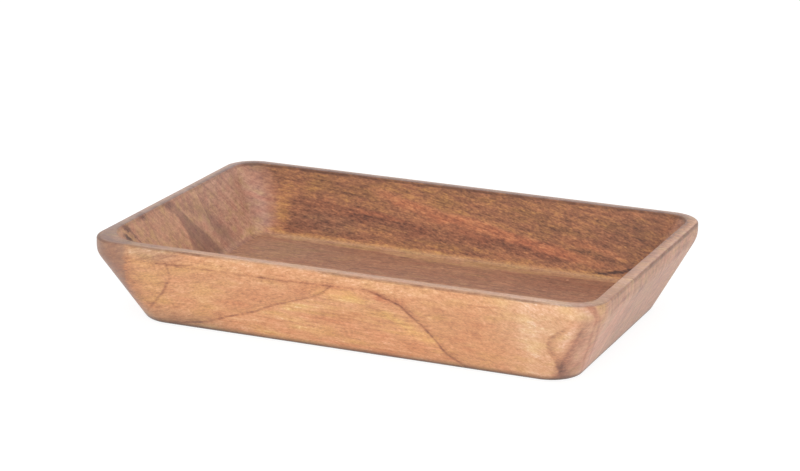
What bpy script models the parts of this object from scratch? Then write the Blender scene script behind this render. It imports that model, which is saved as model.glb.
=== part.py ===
"""Rectangular wooden tray, hollowed out of boards that are glued edge to edge.

The boards lie side by side along the tray's length. Glued up they make one thick block,
and the block is shaped as a whole: its outside tapers to a smaller foot below a short
upright lip, its inside is a coved hollow, and every corner is round. So each board ends
up as its own lengthwise slice of the tray, with a thin glue line to its neighbour.

Frame: the origin is the centre of the foot on the table, +X runs along the length,
+Y runs across to the back and +Z is up. All lengths are in metres.
"""

import math

import bmesh
import bpy

MM = 0.001

# The block after shaping
LENGTH = 360.0 * MM
WIDTH = 235.0 * MM
HEIGHT = 60.0 * MM

# The boards, from the front; the rear board takes the width that is left
FRONT_BOARD_WIDTH = 72.8 * MM
MIDDLE_BOARD_WIDTH = 74.0 * MM
GLUE_LINE = 0.3 * MM

# The outside wall: an upright lip, a soft bend and a straight taper to the foot
LIP_HEIGHT = 10.5 * MM
BEND_RADIUS = 30.0 * MM
FOOT_INSET = 24.7 * MM
FOOT_EDGE_RADIUS = 4.0 * MM
RIM_OUTER_EDGE_RADIUS = 1.8 * MM
RIM_INNER_EDGE_RADIUS = 1.2 * MM

# The rim's flat top, which is a little uneven because the hollow is cut by hand
LEFT_RIM = 7.0 * MM
RIGHT_RIM = 8.4 * MM
FRONT_RIM = 9.4 * MM
BACK_RIM = 7.0 * MM

# The hollow: sloping walls that run into the floor through a cove
FLOOR_THICKNESS = 14.5 * MM
HOLLOW_WALL_RUN = 25.5 * MM
COVE_RADIUS = 7.0 * MM

# Corner radii, seen from above
RIM_CORNER_RADIUS = 23.0 * MM
FOOT_CORNER_RADIUS = 22.0 * MM
HOLLOW_TOP_CORNER_RADIUS = 15.5 * MM
HOLLOW_FLOOR_CORNER_RADIUS = 12.0 * MM

# How much rounder the hollow's front left corner is cut than its other three
FRONT_LEFT_EXTRA_RADIUS = 14.5 * MM

# How far the guide slabs reach past the block
OVERRUN = 5.0 * MM

# Facet counts
CORNER_STEPS = 12
EDGE_STEPS = 4
BEND_STEPS = 6
COVE_STEPS = 6

SHARP_ANGLE = math.radians(35.0)

# Colours as seen, red, green and blue from 0 to 255
FRONT_BOARD_COLOUR = (228, 174, 134)
MIDDLE_BOARD_COLOUR = (196, 147, 118)
REAR_BOARD_COLOUR = (166, 117, 90)
COLOUR_TOP = 255.0
OILED_ROUGHNESS = 0.55


def clear_scene():
    """Remove every object that is in the scene."""
    for old in list(bpy.data.objects):
        bpy.data.objects.remove(old, do_unlink=True)


def linear_channel(value):
    """Turn one colour channel as seen into the linear value that a material holds."""
    share = value / COLOUR_TOP
    if share <= 0.04045:
        return share / 12.92
    return ((share + 0.055) / 1.055) ** 2.4


def wood_material(name, colour):
    """Make the oiled wood of one board."""
    material = bpy.data.materials.new(name)
    material.use_nodes = True
    shader = material.node_tree.nodes["Principled BSDF"]
    red, green, blue = (linear_channel(value) for value in colour)
    shader.inputs["Base Color"].default_value = (red, green, blue, 1.0)
    shader.inputs["Roughness"].default_value = OILED_ROUGHNESS
    shader.inputs["Metallic"].default_value = 0.0
    return material


def direction(start, end):
    """Unit step in the section plane from one point towards another."""
    run = end[0] - start[0]
    rise = end[1] - start[1]
    length = math.hypot(run, rise)
    return run / length, rise / length


def rounded_corner(before, corner, after, radius, steps):
    """Points of the arc that rounds a section's corner, in order, ends included.

    A section is drawn as (inset, height) points. The radius is held to what half of
    the shorter neighbouring stretch can carry.
    """
    back = direction(corner, before)
    ahead = direction(corner, after)
    opening = math.acos(back[0] * ahead[0] + back[1] * ahead[1])
    reach = radius / math.tan(opening / 2)
    room = min(math.dist(corner, before), math.dist(corner, after)) / 2
    if reach > room:
        reach = room
        radius = room * math.tan(opening / 2)
    towards = direction((0.0, 0.0), (back[0] + ahead[0], back[1] + ahead[1]))
    to_centre = radius / math.sin(opening / 2)
    centre = (corner[0] + towards[0] * to_centre, corner[1] + towards[1] * to_centre)
    first = (corner[0] + back[0] * reach, corner[1] + back[1] * reach)
    start = math.atan2(first[1] - centre[1], first[0] - centre[0])
    turn = math.pi - opening
    if back[0] * ahead[1] - back[1] * ahead[0] > 0:
        turn = -turn
    points = []
    for step in range(steps + 1):
        angle = start + turn * step / steps
        points.append((centre[0] + radius * math.cos(angle), centre[1] + radius * math.sin(angle)))
    return points


def outside_section():
    """The outside of the wall from the foot up to the rim, as (inset, height) points.

    The inset counts inward from the outer edge of the rim.
    """
    under_foot = (FOOT_INSET * 2, 0.0)
    foot = (FOOT_INSET, 0.0)
    bend = (0.0, HEIGHT - LIP_HEIGHT)
    rim_outer = (0.0, HEIGHT)
    rim_middle = (FRONT_RIM, HEIGHT)
    points = rounded_corner(under_foot, foot, bend, FOOT_EDGE_RADIUS, EDGE_STEPS)
    points += rounded_corner(foot, bend, rim_outer, BEND_RADIUS, BEND_STEPS)
    points += rounded_corner(bend, rim_outer, rim_middle, RIM_OUTER_EDGE_RADIUS, EDGE_STEPS)
    return points


def hollow_section():
    """The inside of the wall from the rim down to the floor, as (inset, height) points.

    The inset counts inward from the inner edge of the rim.
    """
    rim_middle = (-FRONT_RIM, HEIGHT)
    rim_inner = (0.0, HEIGHT)
    floor_corner = (HOLLOW_WALL_RUN, FLOOR_THICKNESS)
    floor = (HOLLOW_WALL_RUN * 2, FLOOR_THICKNESS)
    points = rounded_corner(rim_middle, rim_inner, floor_corner, RIM_INNER_EDGE_RADIUS, EDGE_STEPS)
    points += rounded_corner(rim_inner, floor_corner, floor, COVE_RADIUS, COVE_STEPS)
    return points


def outside_radius(inset, height):
    """Corner radius of the outside at one height, less what the rounding takes off."""
    up = height / HEIGHT
    radius = FOOT_CORNER_RADIUS + (RIM_CORNER_RADIUS - FOOT_CORNER_RADIUS) * up
    bend_height = HEIGHT - LIP_HEIGHT
    taper = FOOT_INSET * max(0.0, bend_height - height) / bend_height
    return radius - (inset - taper)


def hollow_radius(inset, height):
    """Corner radius of the hollow at one height, less what the rounding takes off."""
    down = (HEIGHT - height) / (HEIGHT - FLOOR_THICKNESS)
    radius = HOLLOW_TOP_CORNER_RADIUS
    radius += (HOLLOW_FLOOR_CORNER_RADIUS - HOLLOW_TOP_CORNER_RADIUS) * down
    return radius - (inset - HOLLOW_WALL_RUN * down)


def rounded_rectangle(left, right, front, back, radius, front_left_radius, height):
    """Corners of a level rectangle with round corners, anticlockwise seen from above."""
    corners = (
        (right - radius, back - radius, radius),
        (left + radius, back - radius, radius),
        (left + front_left_radius, front + front_left_radius, front_left_radius),
        (right - radius, front + radius, radius),
    )
    points = []
    for quarter, (x, y, reach) in enumerate(corners):
        for step in range(CORNER_STEPS + 1):
            angle = (quarter + step / CORNER_STEPS) * math.pi / 2
            points.append((x + reach * math.cos(angle), y + reach * math.sin(angle), height))
    return points


def outside_rings():
    """Level outlines of the outside, from the foot up to the rim."""
    rings = []
    for inset, height in outside_section():
        half_x = LENGTH / 2 - inset
        half_y = WIDTH / 2 - inset
        radius = outside_radius(inset, height)
        rings.append(rounded_rectangle(-half_x, half_x, -half_y, half_y, radius, radius, height))
    return rings


def hollow_rings():
    """Level outlines of the hollow, from the rim down to the floor."""
    rings = []
    for inset, height in hollow_section():
        left = -LENGTH / 2 + LEFT_RIM + inset
        right = LENGTH / 2 - RIGHT_RIM - inset
        front = -WIDTH / 2 + FRONT_RIM + inset
        back = WIDTH / 2 - BACK_RIM - inset
        radius = hollow_radius(inset, height)
        front_left = radius + FRONT_LEFT_EXTRA_RADIUS
        rings.append(rounded_rectangle(left, right, front, back, radius, front_left, height))
    return rings


def shaped_block():
    """Mesh of the whole hollowed block: its outlines joined into one closed skin."""
    shape = bmesh.new()
    rings = []
    for ring in outside_rings() + hollow_rings():
        rings.append([shape.verts.new(point) for point in ring])
    for lower, upper in zip(rings, rings[1:]):
        for index, corner in enumerate(lower):
            following = (index + 1) % len(lower)
            shape.faces.new((corner, lower[following], upper[following], upper[index]))
    shape.faces.new(list(reversed(rings[0])))
    shape.faces.new(rings[-1])
    bmesh.ops.triangulate(shape, faces=shape.faces[:])
    bmesh.ops.recalc_face_normals(shape, faces=shape.faces[:])
    mesh = bpy.data.meshes.new("shaped_block")
    shape.to_mesh(mesh)
    shape.free()
    mesh.shade_smooth()
    mesh.set_sharp_from_angle(angle=SHARP_ANGLE)
    return mesh


def guide_slab(name, front, back):
    """Box that keeps the stretch of the block from one glue line to the next."""
    half_length = LENGTH / 2 + OVERRUN
    shape = bmesh.new()
    bmesh.ops.create_cube(shape, size=1.0)
    for corner in shape.verts:
        corner.co.x *= 2 * half_length
        corner.co.y = back if corner.co.y > 0 else front
        corner.co.z = HEIGHT + OVERRUN if corner.co.z > 0 else -OVERRUN
    mesh = bpy.data.meshes.new(name)
    shape.to_mesh(mesh)
    shape.free()
    slab = bpy.data.objects.new(name, mesh)
    slab.hide_render = True
    slab.display_type = "WIRE"
    bpy.context.collection.objects.link(slab)
    return slab


def board(name, block, front, back, colour):
    """One board of the tray: the shaped block between two planes across its width."""
    mesh = block.copy()
    mesh.name = name
    mesh.materials.append(wood_material(name + "_wood", colour))
    piece = bpy.data.objects.new(name, mesh)
    bpy.context.collection.objects.link(piece)
    cut = piece.modifiers.new("between_glue_lines", "BOOLEAN")
    cut.operation = "INTERSECT"
    cut.solver = "EXACT"
    cut.object = guide_slab(name + "_slab", front, back)
    return piece


def build_tray():
    """Shape the block once and part it into its boards along the glue lines."""
    clear_scene()
    block = shaped_block()
    front_edge = -WIDTH / 2
    back_edge = WIDTH / 2
    front_seam = front_edge + FRONT_BOARD_WIDTH
    rear_seam = front_seam + MIDDLE_BOARD_WIDTH
    half_glue = GLUE_LINE / 2
    front_board = (front_edge - OVERRUN, front_seam - half_glue)
    middle_board = (front_seam + half_glue, rear_seam - half_glue)
    rear_board = (rear_seam + half_glue, back_edge + OVERRUN)
    board("front_board", block, *front_board, FRONT_BOARD_COLOUR)
    board("middle_board", block, *middle_board, MIDDLE_BOARD_COLOUR)
    board("rear_board", block, *rear_board, REAR_BOARD_COLOUR)


build_tray()
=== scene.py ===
"""Looks of the wooden tray: fine meshes of its three glued boards, their wood, and a studio.

The boards have the sections and corner radii of the CAD solids, with finer steps and the
slight unevenness of hand work. The wood is a solid texture that runs through each board, and
the lines and soft ovals of its figure are laid over it face by face.

Lengths in the meshes are in metres, and those inside the materials are in millimetres.
"""

import math

import bmesh
import bpy
from mathutils import Matrix, Vector, noise


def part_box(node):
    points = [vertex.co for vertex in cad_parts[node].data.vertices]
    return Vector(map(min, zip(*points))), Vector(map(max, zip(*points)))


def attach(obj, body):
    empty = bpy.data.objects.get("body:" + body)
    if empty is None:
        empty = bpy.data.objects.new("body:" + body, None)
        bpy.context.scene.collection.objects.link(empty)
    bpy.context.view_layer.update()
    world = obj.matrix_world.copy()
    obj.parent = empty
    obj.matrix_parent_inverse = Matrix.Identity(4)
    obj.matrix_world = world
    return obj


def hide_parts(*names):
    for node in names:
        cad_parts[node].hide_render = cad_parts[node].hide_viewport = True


MM = 0.001

# The block, with the sizes of the CAD model
LENGTH = 360 * MM
WIDTH = 235 * MM
HEIGHT = 60 * MM
LIP_HEIGHT = 10.5 * MM
BEND_RADIUS = 30 * MM
FOOT_INSET = 24.7 * MM
FOOT_EDGE_RADIUS = 4 * MM
RIM_OUTER_EDGE_RADIUS = 1.8 * MM
RIM_INNER_EDGE_RADIUS = 1.2 * MM
LEFT_RIM = 7 * MM
RIGHT_RIM = 8.4 * MM
FRONT_RIM = 9.4 * MM
BACK_RIM = 7 * MM
FLOOR_THICKNESS = 14.5 * MM
HOLLOW_WALL_RUN = 25.5 * MM
COVE_RADIUS = 7 * MM
RIM_CORNER_RADIUS = 23 * MM
FOOT_CORNER_RADIUS = 22 * MM
HOLLOW_TOP_CORNER_RADIUS = 15.5 * MM
HOLLOW_FLOOR_CORNER_RADIUS = 12 * MM
FRONT_LEFT_EXTRA_RADIUS = 14.5 * MM

# Facets of the fine meshes
CORNER_STEPS = 24
LONG_SIDE_STEPS = 60
SHORT_SIDE_STEPS = 36
EDGE_STEPS = 8
BEND_STEPS = 12
COVE_STEPS = 10
LONGEST_FACET = 5 * MM
SHARP_ANGLE = math.radians(40)

# Hand work: how far the surface dips below the true shape, and over what distance
HAND_DIP = 0.25 * MM
HAND_SPACING = 55 * MM

# The camera of the photograph
CAMERA_PLACE = (0.66196, -1.59951, 0.56715)
CAMERA_AZIMUTH = math.radians(22.5215)
CAMERA_ELEVATION = math.radians(16.5133)
CAMERA_ROLL = math.radians(0.8261)
CAMERA_LENS = 119.552
SENSOR_WIDTH = 36

# Wood colours as seen, red, green and blue from 0 to 255, from the darkest to the palest tone
WOOD_TONES = (
    (0, (76, 46, 34)),
    (0.15, (118, 76, 55)),
    (0.3, (150, 101, 74)),
    (0.45, (180, 123, 88)),
    (0.6, (204, 145, 103)),
    (0.75, (223, 163, 117)),
    (0.9, (238, 183, 140)),
    (1, (248, 205, 170)),
)
COLOUR_TOP = 255
GREEN_GAIN = 0.1
BLUE_LOSS = 0.1
RED_BLUE_LOSS = 0.1
END_TINT = (0.9, 0.99, 1.25)
WALL_TINT = (1, 1.04, 1.16)
# The rim's grey cast: partly the sanded rim's own paler colour, partly a painted sheen
RIM_GREY_AND_SHEEN_TINT = (0.9, 1.07, 1.46)
CORNER_TINT = (0.62, 0.6, 0.62)
FACE_TINTS = {"back_wall": (1.04, 0.98, 0.89), "floor": (0.92, 1, 1.2)}
FAR_RIM_GREY = (172, 150, 144)
WEDGE_GREY = (118, 90, 80)
EDGE_BROWN = (84, 50, 36)
CORNER_GREY = (146, 116, 102)
# Painted shade: the grey that darkens the foot, where the floor shades it
FOOT_SHADE_GREY = (84, 64, 54)
PORE_BROWN = (84, 50, 36)
BOARD_TONE = 0.64
ROUGHNESS = 0.42
BUMP_STRENGTH = 0.35
BUMP_HEIGHT = 0.2 * MM

# How noise is placed and scaled
SEED_STEPS = (7.31, 3.17, 5.77)
NOISE_GAIN = 3.2
MARK_CORE = 0.5

# Soft random patterns of the wood: their lengths along x, y and z in millimetres, the step
# of their seed, then detail, roughness and swirl
PATTERNS = {
    "drift": ((60, 22, 22), 0, 3, 0.5, 0),
    "waver": ((12, 6, 6), 1, 3, 0.65, 0),
    "front_flame": ((30, 1.8, 2), 2, 3, 0.7, 0),
    "back_flame": ((30, 2.2, 2.2), 2, 3, 0.7, 0),
    "growth": ((24, 1, 1), 3, 2, 0.5, 0),
    "broken": ((13, 5, 5), 4, 3, 0.5, 0),
    "floor_streak": ((36, 3, 6), 5, 4, 0.9, 0),
    "curl": ((14, 4, 2.4), 6, 3, 0.75, 0.6),
    "glow": ((44, 8, 6), 8, 1, 0.5, 0),
    "strands": ((40, 9, 1.6), 9, 2, 0.5, 0),
    "front_grain": ((2.4, 1.2, 1.2), 10, 1, 0.9, 0),
    "middle_grain": ((3.8, 1.2, 1.2), 10, 1, 0.9, 0),
    "rear_grain": ((3.4, 1.2, 1.2), 10, 1, 0.9, 0),
    "figure": ((15, 3, 3), 11, 2, 0.7, 0),
    "mottle": ((7, 4, 4), 12, 3, 0.8, 0.5),
    "patch": ((34, 14, 14), 14, 3, 0.5, 0),
    "shift": ((20, 7, 7), 15, 1, 0.5, 0),
    "worn": ((9, 9, 4), 16, 3, 0.5, 0),
    "layers": ((60, 4, 30), 17, 3, 0.8, 0),
    "edge_streak": ((14, 14, 1.2), 18, 3, 0.7, 0),
    "speck": ((6, 4.6, 2.2), 19, 2, 0.9, 0),
}

# Short marks along the fibres: cell in millimetres, step of the seed, size, share of the cells
MARKS = {
    "fleck": ((4.2, 1.3, 1.3), 7, 0.5, 0.5),
    "pore": ((3.6, 1.1, 1.1), 13, 0.34, 0.5),
}

# How far the drift and the waver move the figure along x, y and z in millimetres, how far
# the drift moves other patterns, and how fast the curls climb
DRIFT_REACH = (1.5, 0.8, 0.8)
WAVER_REACH = (3, 1.5, 1.2)
FIBRE_DRIFT = 0.5
LAYER_DRIFT = 2
ARC_DRIFT = 1.5
CURL_DRIFT = 3
CURL_CLIMB = 0.3

# Growth layers of the middle board
LAYER_SPACING = 8
LAYER_WANDER = 0.6
LAYER_START = 64
LAYER_LEAN = 0.4
LAYER_BAND = ((0.35, 0.97), (1, 0.97))

# Fades, here and below: the value where a mask starts and the value where it is full, places
# in millimetres. A band is two fades, a reach is its start, its end and their softness
LEFT_END = (-119, -138)
LEFT_END_LEAN = 0.37
BACK_LEFT_ACROSS = (60, 80)
BACK_LEFT_UP = (16, 22)
LEFT_WALL_FOOT = (14.8, 17)
LEFT_WALL_BACK = (108, 98)
OUTER_LEFT = (-159, -164)
OUTER_LEFT_LEAN = 0.22
OUTER_LEFT_ACROSS = (-60, -90)
RIGHT_END = (120, 160)
REAR_HALF = (0, 50)
FLOOR_RISE = (16.5, 14.8)
BACK_WALL_FOOT = (15, 18)
END_GRAIN_TURN = (0.1, 0.75)
LONG_GRAIN = (0.7, 0.2)
HOLLOW_ENDWISE_LOSS = 0.02

# The front slope: where its foot edge is, how far it leans and where its figure lies
FRONT_FOOT_PLACE = (WIDTH / 2 - FOOT_INSET) / MM
FRONT_LEAN = math.atan2(FOOT_INSET, HEIGHT - LIP_HEIGHT)
SLOPE_DEPTH = (14, 6)
CORNER_DEPTH = (24, 10)
# Painted light: the lip above the bend is made paler, as light falls on its upright face
LIT_LIP_RISE = (50.5, 53.5)
ARCH_EDGE = (-0.6, 1.2)
CURL_END = (90, 50)
STRAND_REACH = (-5, 2.5, 1.5)
STRAND_BAND = ((-150, -130), (30, 0))
LEG_SHADE = ((-9, 0), (0.4, -0.4))
LEG_SHADE_END = (10, 0)
RING_SHADE = ((-7, 0), (0.4, -0.4))
RING_SHADE_START = (16, 34)
LEFT_ARC_WIDTH = 2
LEFT_ARC_BAND = ((54, 49), (6, 14))
LEFT_ARC_STRONG = (44, 24)
CORNER_ARC_BAND = ((-1.2, 0.8), (8, 1))
CORNER_EDGE_BAND = ((-6, -0.5), (7, 0.5))
CORNER_EDGE_WIDTH = 1.6
CORNER_ARC_TOP = (57, 38)

# The left end wall's wedge, as shares of the way from its dark edge to its light line, and
# the oval behind it; the floor's pale strip
WEDGE_SHARES = ((-0.06, 0.12), (1.15, 0.85))
WEDGE_TOP = (62, 44)
SECOND_WEDGE = ((36, 29), (20, 15), -1)
STRIP_EDGE = (-1.5, 1.5)
STRIP_TOP = (19, 16.5)
STRIP_REACH = (-135, 132, 6)

# The rim and its edges. A region is a fade along x and a fade along y
EVERYWHERE = (-200, -190)
RIM_RISE = (59.2, 59.8)
RIM_FACING = (0.4, 0.9)
TAN_EDGE = ((160, 140), (-80, -95))
TAN_EDGE_DEPTH = (4.2, 2.2)
NEAR_LEFT = ((-85, -125), (-60, -100))
RIM_PART_TINTS = (
    ((0.76, 0.72, 0.73), (150, 168), (-45, -80)),
    ((1.06, 1.09, 1.14), (160, 168), (-60, -20)),
    ((0.92, 0.91, 0.91), EVERYWHERE, (-98, -106)),
)
FAR_LEFT = (-150, -172)
FAR_BACK = (100, 112)
FAR_START = (-112, -70)
FAR_EDGE_BAND = ((-2.5, -0.5), (1.6, 0.2))
FAR_EDGE_INSET = (3, 6)
FRONT_EDGE_ACROSS = (-90, -104)
FRONT_EDGE_INSET = (30, 12)
FRONT_EDGE_BAND = ((-1.6, -0.2), (3.4, 1.2))
RIGHT_EDGE_ALONG = (160, 172)
RIGHT_EDGE_BAND = ((-3.6, -1.4), (1.2, 0))
INNER_REACH = (58, 59.5, 0.5)
INNER_BACK = (92, 106)
WORN_RANGE = (-0.8, 0.6)
GLUE_WIDTH = 0.6
# Painted shade along the foot: the heights where it starts and where it is full
FOOT_SHADE_FADE = (5.5, 0.3)

# Lines of the figure in millimetres, each a list of (place, height) points
LINE_PROBE = 3
RING_LINE = (
    (-180, 52), (-137, 50.7), (-105, 50.1), (-63, 50.6), (-19, 50.7), (6, 51.4), (22, 51.3),
    (34, 48.3), (44, 44.7), (51, 38.3), (60, 29.8), (66, 21), (74.4, 8.8), (84, 1.9), (104, -14),
    (180, -40),
)
LEG_LINE = (
    (-180, -14), (-117, 3.6), (-101, 6.8), (-82, 14.3), (-62, 21.5), (-45, 29.6), (-27, 36.4),
    (-12, 42.5), (-4, 48.4), (6, 58), (30, 80), (180, 90),
)
RIGHT_RING_LINE = ((60, 54), (99.6, 51.8), (117.6, 53.1), (130.3, 52.3), (150, 50))
CURL_LINE = ((-140, 48.6), (-120, 50.4), (-105, 51.2), (-93.7, 55.5), (-86, 60), (-80, 64))
LEFT_ARC_LINE = (
    (0, -152), (13.8, -139.6), (20.5, -133.2), (33.4, -122.8), (42.8, -117.9), (50, -119.5),
    (60, -124),
)
CORNER_ARC_LINE = (
    (0, 147), (9.7, 148), (19.5, 146.6), (27, 144), (32.2, 144.3), (38.3, 149.5), (44.9, 158.1),
    (50.3, 162.8), (60, 172),
)
CORNER_EDGE_LINE = (
    (0, 144), (11.1, 150.1), (21.2, 154.9), (32.6, 161.7), (42.3, 167), (52.5, 171.5), (60, 173),
)
END_ARC_LINE = ((0, -66), (15.4, -78.3), (36.5, -95.2), (53.6, -106.4), (60, -110))
SECOND_END_ARC_LINE = ((0, -74), (18, -87), (40.8, -102.2), (56.5, -110), (60, -112))
STRIPE_EDGE_LINE = ((0, -12), (14.5, -10), (29.3, -8.3), (37.8, -6.8), (53.6, -13.2), (60, -17))
STRIPE_LIGHT_LINE = (
    (0, 44), (14.8, 32.1), (20.1, 25.5), (30.8, 17.8), (42.6, 6.5), (53.5, -1.4), (60, -5),
)
SECOND_LIGHT_LINE = ((0, 92), (20, 75), (40.5, 60.2), (47.2, 55.1), (56.5, 46.8), (60, 43.5))
ORANGE_LINE = (
    (-180, 64), (-86, 56), (-39.7, 46.4), (-12.5, 42), (23, 37.7), (40.8, 34.3), (66.9, 30.9),
    (110, 25), (180, 18),
)
DARK_BAND_LINE = (
    (-180, 40), (-63, 33), (-40, 30.8), (-7, 28.1), (16.5, 28), (46.8, 26.8), (110, 22), (180, 18),
)
STRIP_LINE = ((-180, 78), (-93, 78.7), (-55, 77.4), (12, 71.5), (54, 72.9), (94, 77.3), (180, 82))

# Thin lines of the front figure: the line, half its width, its reach along x, its strength
FRONT_LINES = (
    (RING_LINE, 1.7, (-128, 200, 8), 0.9),
    (RING_LINE, 1.7, (28, 80, 8), 0.6),
    (LEG_LINE, 1.4, (-200, -2, 4), 1),
    (RIGHT_RING_LINE, 1.4, (92, 132, 8), 0.6),
    (CURL_LINE, 1.2, (-134, -86, 4), 0.8),
)

# Streaks of the back wall: the line, the reach over it, the reach along x, and what each
# streak adds to tone and to hue
BACK_STREAKS = (
    (ORANGE_LINE, (-4.5, 1.8, 1.6), (-60, 110, 20), 0.15, -1.4),
    (ORANGE_LINE, (2.8, 5, 1.2), (-45, 60, 20), 0.12, 0.4),
    (DARK_BAND_LINE, (-3.2, 3.6, 2.6), (-80, 90, 16), -0.09, -0.9),
)

# Lines of the left end wall: the line, its shift, half its width, its fade in height, what
# it adds to tone; and the arcs of the right end with half their widths
LEFT_WALL_LINES = (
    (STRIPE_LIGHT_LINE, 0, 1.8, EVERYWHERE, 0.08),
    (SECOND_LIGHT_LINE, 0, 2, (36, 42), 0.08),
    (STRIPE_EDGE_LINE, 1.6, 1.8, (58, 50), 0.05),
)
END_ARCS = ((END_ARC_LINE, 2.4), (SECOND_END_ARC_LINE, 2))

# Tone of the front board along its length
FRONT_TONE_LINE = (
    (-180, 0.5), (-150, 0.56), (-142, 0.67), (-120, 0.71), (-90, 0.73), (-40, 0.74), (40, 0.72),
    (90, 0.7), (112, 0.71), (135, 0.79), (150, 0.79), (180, 0.66),
)

# How dark the rim's outer edge is along the front and along the right side
FRONT_EDGE_LINE = (
    (-180, 0.2), (-168, 0.34), (-160, 0.1), (-150, 0.12), (-141, 0.26), (-127, 0.24), (-117, 0.3),
    (-104, 0.42), (-92, 0.34), (-76, 0.14), (-52, 0.08), (-20, 0.08), (-8, 0.26), (20, 0.34),
    (60, 0.32), (90, 0.3), (130, 0.36), (150, 0.18), (180, 0.1),
)
RIGHT_EDGE_LINE = (
    (-118, 0.1), (-100, 0.15), (-60, 0.35), (-30, 0.45), (0, 0.55), (40, 0.6), (80, 0.55),
    (118, 0.4),
)

# How much of a soft oval is its core, and how far past its board it may reach
OVAL_CORE = 0.2
OVAL_MARGIN = 4

# Soft ovals of the figure in millimetres. Each one is its middle (along, up), its half
# sizes (along, up), how fast its long side climbs, and what it adds to tone and to hue:
# above nought the hue turns to yellow, below it to red
FRONT_PATCHES = (
    ((8, 45), (34, 7), 0, 0.05, 1),
    ((42, 33), (26, 8), -0.85, 0.04, 0.7),
    ((-42, 25), (34, 6), 0.42, 0.04, 0.6),
    ((-4, 27), (30, 6), 0, -0.08, -0.6),
    ((-30, 10), (70, 9), 0, 0.02, 0.5),
    ((-66, 33), (26, 11), 0.3, -0.05, -0.8),
    ((-22, 46), (26, 5), 0.15, -0.06, -0.8),
    ((32, 48.5), (18, 4), -0.35, -0.07, -0.7),
    ((50, 42), (12, 6), -0.8, -0.07, -0.7),
    ((-134, 30), (14, 26), 0, 0.02, 0.6),
    ((-96, 30), (14, 26), 0, 0.01, 0.3),
    ((-160, 34), (16, 60), -0.3, -0.08, -0.5),
    ((96, 24), (30, 22), 0, -0.02, -0.2),
    ((133, 34), (9, 34), 0, 0.07, 0.3),
    ((160, 38), (8, 14), 1.6, 0.13, -0.1),
    ((157, 9), (12, 17), 0, -0.15, 0.1),
    ((-118, 55), (26, 4.5), 0.1, -0.13, -0.5),
)
BACK_PATCHES = (
    ((-95, 50), (50, 9), 0, -0.01, 0.5),
    ((-100, 35), (46, 8), 0, -0.02, -1),
    ((-105, 24), (44, 7), 0, -0.08, -0.6),
    ((-20, 52), (60, 6), -0.1, 0.02, 0.4),
    ((0, 34), (70, 4.5), -0.15, 0.01, -0.8),
    ((60, 46), (60, 8), -0.15, -0.02, 0.4),
    ((60, 21), (60, 3.5), -0.02, 0.05, 0.2),
    ((-134, 34), (12, 32), 0, 0.13, 0.9),
    ((-116, 31), (22, 16), 0, -0.04, -0.2),
    ((128, 42), (30, 14), 0, -0.05, -0.2),
    ((104, 33), (34, 3), -0.2, 0.08, -0.8),
    ((112, 27.5), (26, 2.2), -0.12, -0.08, -0.6),
    ((-60, 36), (30, 2.5), -0.1, 0.06, -1),
    ((124, 19.2), (9, 1.2), 0.06, -0.34, -0.3),
    ((133, 21.5), (7, 1.8), 0.3, -0.36, -0.3),
    ((100, 17), (32, 1), 0.05, -0.22, -0.3),
    ((118, 17.2), (8, 1), -0.06, -0.24, -0.3),
)
LEFT_WALL_PATCHES = (
    ((-85, 40), (40, 40), 0, 0.02, 0.5),
    ((-77.5, 51), (6.5, 3.6), -0.6, -0.5, -0.2),
    ((-73.5, 57.4), (6, 3), -0.3, -0.36, -0.2),
    ((-67.5, 49.5), (5, 1.5), -1.7, -0.3, -0.4),
    ((-12, 57.4), (10, 4), -0.2, -0.3, -0.2),
    ((-50, 58.6), (9, 3), 0, -0.24, -0.2),
    ((-35, 40), (24, 20), 0, 0.03, 0.2),
    ((38, 31), (17, 13), -1, -0.05, 0),
    ((10, 52), (18, 9), -0.4, -0.1, 0.2),
    ((20, 48), (24, 10), 0, -0.05, 0.3),
    ((74, 46), (26, 14), 0, 0.02, -0.2),
    ((68, 18.5), (14, 4), 0, 0.1, 0.9),
    ((93, 30), (9, 15), -0.3, -0.03, -0.3),
    ((96, 38.7), (5, 4.5), -0.6, -0.02, -1.8),
)
RIGHT_END_PATCHES = (
    ((-26, 47), (14, 5), 0.3, -0.16, -0.4),
    ((-64, 52), (22, 2.6), 0.1, -0.15, -0.4),
    ((-86, 50), (10, 4), 0.2, -0.1, -0.2),
    ((30, 38), (10, 5), 0.3, -0.1, -0.2),
    ((-60, 30), (50, 22), 0.1, -0.03, -0.8),
    ((60, 50), (30, 4), 0.05, -0.1, -0.2),
)
FLOOR_PATCHES = (
    ((95.3, 71.7), (1.3, 2.2), 0, 0.34, 0),
    ((-122, 50), (40, 40), 0, 0.03, 0.4),
    ((0, 58), (60, 16), 0, 0.03, 0),
    ((100, 60), (60, 34), 0, -0.06, -0.3),
)

PATCHES = {
    "front_slope": FRONT_PATCHES,
    "back_wall": BACK_PATCHES,
    "left_wall": LEFT_WALL_PATCHES,
    "right_end": RIGHT_END_PATCHES,
    "floor": FLOOR_PATCHES,
}

# Soft ovals that turn a colour: middle, half sizes and climb as above, then the factors
# that red, green and blue are multiplied by
FRONT_WASHES = (
    ((-132, 57), (36, 9), 0, (0.84, 0.94, 1.12)),
    ((-124, 0), (70, 18), 0, (0.78, 0.89, 1.02)),
    ((142, 36), (46, 56), 0, (1, 1.11, 1.24)),
    ((110, 0), (80, 18), 0, (1.02, 1.08, 1.16)),
    ((10, 30), (34, 7), 0.1, (0.94, 0.91, 0.84)),
    ((2, 46), (28, 6), 0, (1.08, 1.09, 0.98)),
    ((56, 20), (28, 10), -0.3, (1.08, 1.07, 1.08)),
)
BACK_WASHES = (
    ((-98, 26), (44, 10), -0.05, (0.93, 1, 1.08)),
    ((98, 30), (30, 10), -0.2, (0.9, 0.9, 0.86)),
    ((146, 46), (20, 18), 0, (0.84, 0.84, 0.84)),
)
LEFT_WALL_WASHES = (
    ((20, 34), (46, 30), -0.6, (1.02, 1.06, 1.12)),
    ((72, 36), (44, 40), 0, (1.04, 1.08, 1.1)),
    ((88, 39), (15, 26), 0, (0.85, 0.84, 0.84)),
)
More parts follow.
